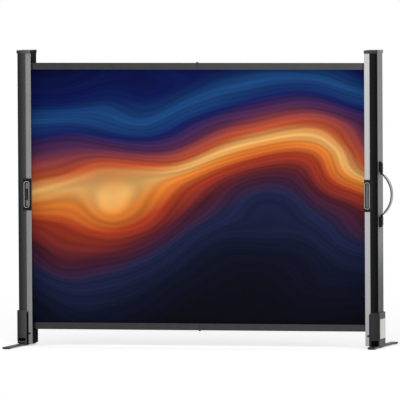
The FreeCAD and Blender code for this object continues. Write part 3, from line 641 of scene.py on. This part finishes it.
# Crossbars: two pairs of rectangular aluminium tubes, stoved dark grey, that toggle in
# the middle. Black pivot ends turn on pins in steel brackets inside the posts.
BARS = both("top_bar", "bottom_bar")
crossbar_grey = powder_coat("crossbar_grey", (0.021, 0.021, 0.0225), rough=0.44)
black_moulding = moulded("black_moulding", SHOE_BLACK)
dress(crossbar_grey, *BARS, *[f"{bar}_hinge_end" for bar in BARS])
dress(black_moulding, *[f"{bar}_pivot_end" for bar in BARS])
dress(blackened, *both("top_bracket", "bottom_bracket", "pivot_pins"), "top_hinge_pin", "bottom_hinge_pin")


# Roller: an aluminium tube on moulded plugs, turning on a steel arbor with a spring
# sleeve, between two steel brackets in the left post. The right post's clamp bar, which
# takes the cloth's far edge, is of the same metal.
tube_metal = plain_metal("roller_tube_metal", (0.5, 0.51, 0.52), rough=0.4)
dress(tube_metal, "roller_tube_left", "fabric_clamp_right")
dress(zinc, "roller_arbor_left", "roller_spring_left", "roller_brackets_left")
dress(black_moulding, "roller_plugs_left")


# Projection cloth: a coated weave, black on the back, stretched from the roller to the
# clamp bar in the right post. Its printed front has broad flowing bands of colour. Black
# stitched hems along its top and bottom reach past its edges, behind the crossbars.
BACK_TONES = ((0.008, 0.008, 0.009), (0.02, 0.02, 0.021))
SHEEN_TONES = ((0.62, 0.62, 0.68), (1.0, 1.0, 1.0))
BAND_STOPS = [
    (0.00, (0.002, 0.002, 0.007)), (0.16, (0.004, 0.006, 0.022)), (0.30, (0.014, 0.020, 0.070)),
    (0.38, (0.090, 0.014, 0.026)), (0.45, (0.480, 0.050, 0.016)), (0.50, (0.950, 0.270, 0.036)),
    (0.53, (0.960, 0.520, 0.150)), (0.57, (0.620, 0.100, 0.030)), (0.63, (0.110, 0.028, 0.080)),
    (0.69, (0.006, 0.016, 0.125)), (0.76, (0.012, 0.075, 0.240)), (0.83, (0.003, 0.010, 0.100)),
    (1.00, (0.001, 0.003, 0.042)),
]
cloth_low, cloth_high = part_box("screen_fabric")
cloth_middle = (cloth_low + cloth_high) / 2
cloth_size = cloth_high - cloth_low


def black_back():
    """The coated back: a fine weave under faint clouds."""
    material, shader, place = new_finish("cloth_back", Specular_IOR_Level=0.2, Sheen_Weight=0.2)
    weave = noise(place, scale=2200.0)
    clouds = noise(place, scale=6.0, detail=3.0)
    coat(shader, mixed(clouds * 0.6 + weave * 0.4, *BACK_TONES), weave * 0.2 + 0.65,
         bumped(weave, plain_normal(place), distance=0.00008, strength=0.4))
    return material


def wave(value):
    """The sine of a value, from -1 to 1."""
    return value.maths("SINE", value)


def multiplied(first, second):
    """The product of two colours."""
    return first.node("ShaderNodeMix", MIX_RESULT, {"data_type": "RGBA", "blend_type": "MULTIPLY"},
                      {MIX_SHARE: 1.0, MIX_FIRST: first, MIX_SECOND: second})


def printed_front():
    """Silky diagonal bands: night blues at the top, a warm band, and deep dark below.

    Level is the height in the picture, bent by a long swell, a ripple and a slow drift. The
    ramp colours it, and finer waves along it make the silk's sheen.
    """
    material, shader, place = new_finish("cloth_print", Specular_IOR_Level=0.06)
    centred = place.node("ShaderNodeVectorMath", 0, {"operation": "SUBTRACT"}, {0: place, 1: cloth_middle})
    from_middle = centred.axes()
    across = from_middle[0] * (2 / cloth_size.x)
    up = from_middle[2] * (2 / cloth_size.z)
    drift = noise(centred, scale=(2.6, 1, 4.2), detail=1.0, contrast=1.0) - 0.5
    swell = wave(across * 2.1 + 0.5)
    ripple = wave(across * 4.7 - up * 1.6 + drift * 3.0)
    level = up - swell * 0.30 - ripple * 0.08 + drift * 0.55 + across * 0.10
    bands = level.node("ShaderNodeValToRGB", 0, {"stops": BAND_STOPS}, {"Fac": level * 0.44 + 0.46})
    silk = wave(level * 46.0 + drift * 24.0)
    threads = wave(level * 150.0 + drift * 60.0 + across * 5.0)
    sheen = silk * 0.3 + threads * 0.2 + 0.5
    beads = noise(place, scale=2400.0)
    coat(shader, multiplied(bands, mixed(sheen, *SHEEN_TONES)), beads * 0.2 + 0.65,
         bumped(beads, plain_normal(place), distance=0.00006, strength=0.35))
    return material


deselected()
bpy.ops.mesh.primitive_grid_add(x_subdivisions=48, y_subdivisions=36, size=1, location=cloth_middle,
                                rotation=(math.pi / 2, 0, 0))
cloth = placed("projection_cloth", (cloth_size.x, cloth_size.z, 1))
applied(cloth, "SOLIDIFY", thickness=cloth_size.y, offset=0)
cloth_back = black_back()
paint(cloth, printed_front())
cloth.data.materials.append(cloth_back)
for face in cloth.data.polygons:
    face.material_index = 0 if face.normal.y < -0.5 else 1
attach(cloth, "left_post")
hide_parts("screen_fabric")
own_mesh(cloth)

TAPE_WIDTH = 0.012
TAPE_THICKNESS = 0.0004
TAPE_FLAP = 0.0095
TAPE_ROUND = 0.00015
TAPE_END_GAP = 0.004
TAPE_TONES = ((0.006, 0.006, 0.007), (0.015, 0.015, 0.016))
TAPE_WEAVE = 9000.0
THREAD_GREY = (0.07, 0.07, 0.072)
THREAD_RADIUS = 0.00035
STITCH_ROW = 0.0044
STITCH_SHARE = 0.64
STITCHES_PER_METRE = 260.0


def stitched_tape():
    """Black binding tape with a row of grey stitches along each edge."""
    material, shader, place = new_finish("hem_tape", Specular_IOR_Level=0.15, Sheen_Weight=0.2)
    along, _, up = place.axes()
    tape_middle = (cloth_size.z - TAPE_WIDTH) / 2
    off = abs(abs(up - cloth_middle.z) - tape_middle)
    dash = along.maths("FRACT", along * STITCHES_PER_METRE) < STITCH_SHARE
    stitch = (abs(off - STITCH_ROW) < THREAD_RADIUS) * dash
    ribs = wave(along * TAPE_WEAVE) * 0.5 + 0.5
    coat(shader, mixed(stitch, mixed(ribs, *TAPE_TONES), THREAD_GREY), ribs * 0.15 + 0.65,
         bumped(stitch + ribs * 0.3, plain_normal(place), distance=0.0001, strength=0.5))
    return material


tape_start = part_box("post_left")[1].x + TAPE_END_GAP
tape_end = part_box("post_right")[0].x - TAPE_END_GAP
hem_top = block("hem_top", (tape_start, cloth_high.y, cloth_high.z - TAPE_WIDTH),
                (tape_end, cloth_high.y + TAPE_THICKNESS, cloth_high.z + TAPE_FLAP))
bevelled(hem_top, TAPE_ROUND)
paint(hem_top, stitched_tape())
hem_bottom = copied(hem_top, "hem_bottom", (0, 0, TAPE_WIDTH - TAPE_FLAP - cloth_size.z))
for hem in (hem_top, hem_bottom):
    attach(hem, "left_post")
    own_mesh(hem)

ROLL_SLACK = 0.00015
ROLL_SIDES = 72
roll_low, roll_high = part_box("wound_fabric_left")
deselected()
bpy.ops.mesh.primitive_cylinder_add(
    vertices=ROLL_SIDES, radius=(roll_high.x - roll_low.x) / 2 - ROLL_SLACK, end_fill_type="NOTHING",
    depth=roll_high.z - roll_low.z, location=(roll_low + roll_high) / 2)
wound = placed("wound_cloth")
applied(wound, "SOLIDIFY", thickness=ROLL_SLACK, offset=-1)
smoothed(wound)
paint(wound, cloth_back)
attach(wound, "roller")
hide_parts("wound_fabric_left")


# Latch: a black slotted plate on the left strip with a blackened steel slider and hook,
# and a matching keeper on the right strip. Each slot stands in a grey raised rim. A thin
# steel liner closes the latch's slot, and a grey inlay lies in the keeper's.
matt_black = moulded("matt_black_moulding", (0.004, 0.004, 0.0043), rough=0.5, shine=0.12)
dress(matt_black, "latch_plate_left", "keeper_plate_right")
dress(blackened, "latch_slider_left", "latch_hook_left")
SLOT = (0.0076, 0.057)
SLOT_END_FLAT = 0.0012
LATCH_INSET = 0.0112
KEEPER_INSET = 0.0062
MOAT = 0.0016
MOAT_CUT = 0.01
RIM = 0.0013
RIM_RISE = 0.0012
RIM_SINK = 0.0002
RIM_ROUND = 0.0004


def capsule(name, x, z, grow, near, far):
    """A block with round ends, larger than the slot by grow on each side."""
    half_wide, half_tall = SLOT[0] / 2 + grow, SLOT[1] / 2 + grow
    piece = block(name, (x - half_wide, near, z - half_tall), (x + half_wide, far, z + half_tall))
    round_corners(piece, 1, half_wide - SLOT_END_FLAT, segments=8)
    return piece


plate_low, plate_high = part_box("latch_plate_left")
right_post_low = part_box("post_right")[0]
slot_z = (plate_low.z + plate_high.z) / 2
latch_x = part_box("post_left")[1].x - LATCH_INSET
keeper_x = right_post_low.x + KEEPER_INSET
latch_rim = capsule("latch_rim", latch_x, slot_z, MOAT + RIM,
                    plate_low.y - RIM_RISE, plate_low.y + RIM_SINK)
carve(latch_rim, capsule("moat", latch_x, slot_z, MOAT, plate_low.y - MOAT_CUT, plate_low.y + MOAT_CUT))
bevelled(latch_rim, RIM_ROUND, sharper_than=50)
smoothed(latch_rim)
paint(latch_rim, moulded("rim_moulding", (0.44, 0.44, 0.446), rough=0.4))
keeper_rim = copied(latch_rim, "keeper_rim", (keeper_x - latch_x, 0, 0))
for rim, body in ((latch_rim, "left_post"), (keeper_rim, "right_post")):
    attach(rim, body)

LINER_Y = (-0.0239, -0.0237)
LINER_HALF_WIDTH = 0.006
LINER_BELOW, LINER_ABOVE = 0.0275, 0.031
LINER_CORNER = 0.002
liner = block("slot_liner", (latch_x - LINER_HALF_WIDTH, LINER_Y[0], slot_z - LINER_BELOW),
              (latch_x + LINER_HALF_WIDTH, LINER_Y[1], slot_z + LINER_ABOVE))
round_corners(liner, 1, LINER_CORNER)
smoothed(liner)
paint(liner, plain_metal("liner_steel", (0.20, 0.203, 0.21), rough=0.45))
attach(liner, "left_post")

INLAY_GAP = 0.0008
INLAY_THICKNESS = 0.0004
INLAY_CHAMFER = 0.0001
inlay = capsule("keeper_inlay", keeper_x, slot_z, -INLAY_GAP,
                right_post_low.y - INLAY_THICKNESS, right_post_low.y)
bevelled(inlay, INLAY_CHAMFER, segments=1, sharper_than=50)
smoothed(inlay)
paint(inlay, moulded("inlay_moulding", (0.13, 0.13, 0.133), rough=0.5))
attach(inlay, "right_post")


# Handle: two moulded lugs screwed to the right post's outer side, with a painted steel
# strap that swings between them. A soft dark sleeve is pushed over most of the strap; its
# pale outer side is a painted highlight.
dress(matt_black, "handle_lugs")
dress(zinc, "handle_screws")
dress(powder_coat("handle_paint", (0.003, 0.003, 0.0033), rough=0.55, shine=0.04), "handle_bail")
STRAP = (0.0024, 0.0070)
STRAP_RADIUS = 0.0619
SLEEVE_SKIN = 0.0013
SLEEVE_ROUND = 0.0010
SLEEVE_STEPS = 28
SLEEVE_HALF_ANGLE = math.radians(44.6)
BORE_OVERRUN = 0.1
SAME_POINT = 0.00001
SLEEVE_DARK_AND_HIGHLIGHT = ((0.010, 0.010, 0.0105), (0.50, 0.50, 0.505))
SLEEVE_WEAR = ((0.82, 0.82, 0.82), (1.0, 1.0, 1.0))
HIGHLIGHT_SEAM = 0.0006
bail_low, bail_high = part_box("handle_bail")
arc = (bail_low + bail_high) / 2
arc.x = bail_high.x - STRAP[0] / 2 - STRAP_RADIUS


def bowed_bar(name, grow, half_angle):
    """A bar round the strap's arc, larger than the strap's section by grow on each side."""
    deselected()
    start = arc + STRAP_RADIUS * Vector((math.cos(half_angle), 0, -math.sin(half_angle)))
    bpy.ops.mesh.primitive_plane_add(size=1, location=start, rotation=(0, half_angle, 0))
    bar = placed(name, (STRAP[0] + 2 * grow, STRAP[1] + 2 * grow, 1))
    bpy.ops.object.mode_set(mode="EDIT")
    bpy.ops.mesh.select_all(action="SELECT")
    bpy.ops.mesh.spin(steps=SLEEVE_STEPS, angle=2 * half_angle, center=arc, axis=(0, 1, 0))
    bpy.ops.mesh.select_all(action="SELECT")
    bpy.ops.mesh.remove_doubles(threshold=SAME_POINT)
    bpy.ops.mesh.fill_holes(sides=0)
    bpy.ops.mesh.normals_make_consistent(inside=False)
    bpy.ops.object.mode_set(mode="OBJECT")
    return bar


def sleeve_with_painted_highlight():
    """Soft foam, dark on the hand's side, with a painted highlight on the outer side, and faint ribs
    across.
    """
    material, shader, place = new_finish("sleeve_with_painted_highlight", Specular_IOR_Level=0.2)
    grain = noise(place, scale=1800.0, detail=3.0)
    ribs = cross_ribs(place, scale=120.0)
    across, _, height = place.axes()
    out, up = across - arc.x, height - arc.z
    from_arc = out.maths("SQRT", out * out + up * up)
    # The pale outer half is a painted highlight.
    pale = graded(from_arc, STRAP_RADIUS, STRAP_RADIUS + HIGHLIGHT_SEAM)
    normal, edge = rounded_edges(place, radius=0.0005)
    wear = mixed(grain * 0.3 + ribs * 0.7, *SLEEVE_WEAR)
    coat(shader, multiplied(mixed(pale, *SLEEVE_DARK_AND_HIGHLIGHT), wear), grain * 0.15 + edge * 0.1 + 0.65,
         bumped(grain * 0.3 + ribs, normal, distance=0.00012, strength=0.5))
    return material


sleeve = bowed_bar("handle_sleeve", SLEEVE_SKIN, SLEEVE_HALF_ANGLE)
carve(sleeve, bowed_bar("sleeve_bore", 0.0, SLEEVE_HALF_ANGLE + BORE_OVERRUN))
bevelled(sleeve, SLEEVE_ROUND, segments=3, sharper_than=50)
smoothed(sleeve)
paint(sleeve, sleeve_with_painted_highlight())
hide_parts("handle_grip")
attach(sleeve, "handle")


# Floor, light and camera: a pale table top that fades into white, a tall soft light in
# front of the picture, a softer one from the right, and a long lens from the right.
TABLE_RADIUS = 6
TABLE_SIDES = 96
TABLE_DROP = 0.0003
TABLE_GLOW = 0.48
TABLE_FADE = (0.7, 2.6)
TABLE_TONES = ((0.93, 0.93, 0.93), (0.95, 0.95, 0.95))
ROOM_LIGHT = 0.5


def open_rays(shade):
    """A mask of the rays that see the white room: straight, mirrored or through something clear."""
    names = ("Is Camera Ray", "Is Glossy Ray", "Is Transmission Ray")
    straight, mirrored, through = [shade.node("ShaderNodeLightPath", name) for name in names]
    return straight.maths("MINIMUM", straight + mirrored + through, 1.0)


def pale_table():
    """Matt and pale, lit up for the rays that see the room, and clear far from the object."""
    material, shader, place = new_finish("pale_table", Specular_IOR_Level=0.0, Roughness=1.0,
                                         Emission_Strength=TABLE_GLOW)
    far = place.node("ShaderNodeVectorMath", "Value", {"operation": "LENGTH"}, {0: place})
    place.feed(shader.inputs["Base Color"], mixed(noise(place, scale=30.0), *TABLE_TONES))
    place.feed(shader.inputs["Emission Color"], mixed(open_rays(place), (0, 0, 0), (1, 1, 1)))
    place.feed(shader.inputs["Alpha"], graded(far, *TABLE_FADE, first=1.0, last=0.0, easing="SMOOTHSTEP"))
    return material


deselected()
bpy.ops.mesh.primitive_circle_add(vertices=TABLE_SIDES, radius=TABLE_RADIUS, fill_type="NGON",
                                  location=(0, 0, -TABLE_DROP))
table_top = bpy.context.object
table_top.name = "table_top"
paint(table_top, pale_table())

world = bpy.data.worlds.new("white_room")
bpy.context.scene.world = world
world.use_nodes = True
room = Shade(world.node_tree)
background = world.node_tree.nodes["Background"]
background.inputs["Color"].default_value = (1, 1, 1, 1)
room.feed(background.inputs["Strength"], open_rays(room) * (1 - ROOM_LIGHT) + ROOM_LIGHT)


def soft_light(name, place, aim, size, watts):
    """A rectangular lamp at a place, turned to a point, that the camera doesn't see."""
    lamp = bpy.data.lights.new(name, "AREA")
    lamp.shape = "RECTANGLE"
    lamp.size, lamp.size_y = size
    lamp.energy = watts
    stand = bpy.data.objects.new(name, lamp)
    bpy.context.scene.collection.objects.link(stand)
    stand.location = place
    stand.rotation_euler = (Vector(aim) - Vector(place)).to_track_quat("-Z", "Y").to_euler()
    stand.visible_camera = False


soft_light("front_light", place=(0.05, -1.7, 0.75), aim=(0, 0, 0.36), size=(0.5, 1.1), watts=12.0)
soft_light("side_light", place=(2.3, -0.7, 0.9), aim=(0.3, 0, 0.4), size=(1.2, 1.2), watts=9.0)

AIM = Vector((-0.0137, 0.0, 0.3486))
DISTANCE = 20.0
AZIMUTH = math.radians(13.39)
ELEVATION = math.radians(2.5)
ROLL = math.radians(-0.33)
SHOWN_WIDTH = 0.9505
SENSOR = 36.0
SEEN_TO = 200
lens = bpy.data.cameras.new("long_lens")
lens.sensor_width = SENSOR
lens.lens = SENSOR * DISTANCE / SHOWN_WIDTH
lens.clip_end = SEEN_TO
camera = bpy.data.objects.new("long_lens", lens)
bpy.context.scene.collection.objects.link(camera)
level_reach = math.cos(ELEVATION)
back = Vector((math.sin(AZIMUTH) * level_reach, -math.cos(AZIMUTH) * level_reach, math.sin(ELEVATION)))
camera.location = AIM + back * DISTANCE
camera.rotation_euler = (-back).to_track_quat("-Z", "Y").to_euler()
camera.rotation_euler.rotate_axis("Z", ROLL)
bpy.context.scene.camera = camera
bpy.context.scene.view_settings.view_transform = "Standard"
